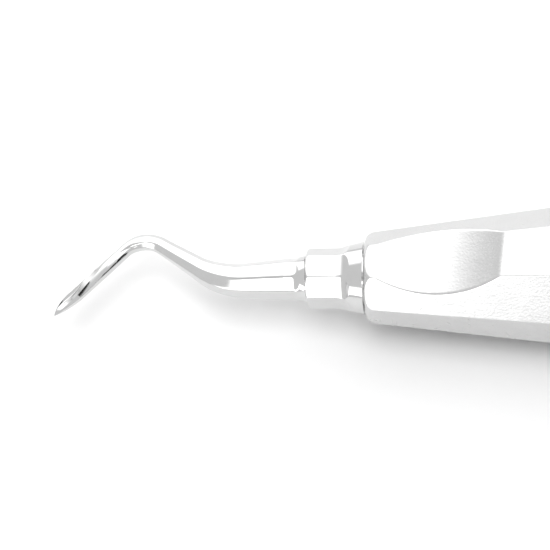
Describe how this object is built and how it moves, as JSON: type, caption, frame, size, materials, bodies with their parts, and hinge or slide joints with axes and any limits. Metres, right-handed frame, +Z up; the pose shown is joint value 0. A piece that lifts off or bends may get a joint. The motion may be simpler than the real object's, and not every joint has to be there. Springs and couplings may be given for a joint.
{
  "type": "dental root-tip elevator",
  "caption": "Slim dental root-tip elevator: a polished bent shank with a narrow spear-pointed blade, an octagonal neck collar and a hollow eight-sided tapered handle with thumb scoops.",
  "frame": {"origin": "centre of the bounding box's base, on the table that the handle's bottom facet rests on", "axes": "+X along the handle's axis from the blade's tip towards the butt, +Z up from the resting facet, +Y towards the side that the crook of the shank bends to"},
  "size_m": [0.15, 0.0156, 0.0157],
  "materials": {
    "polished_steel": "mirror-polished stainless steel",
    "satin_steel": "fine satin stainless steel",
    "machined_steel": "as machined, hidden inside the handle"
  },
  "bodies": {
    "root": {"blade_and_shank": "polished_steel", "neck_collar": "polished_steel", "handle_body": "satin_steel", "tang_bush": "machined_steel", "tang_pin": "machined_steel", "end_plug": "satin_steel"}
  },
  "joints": []
}
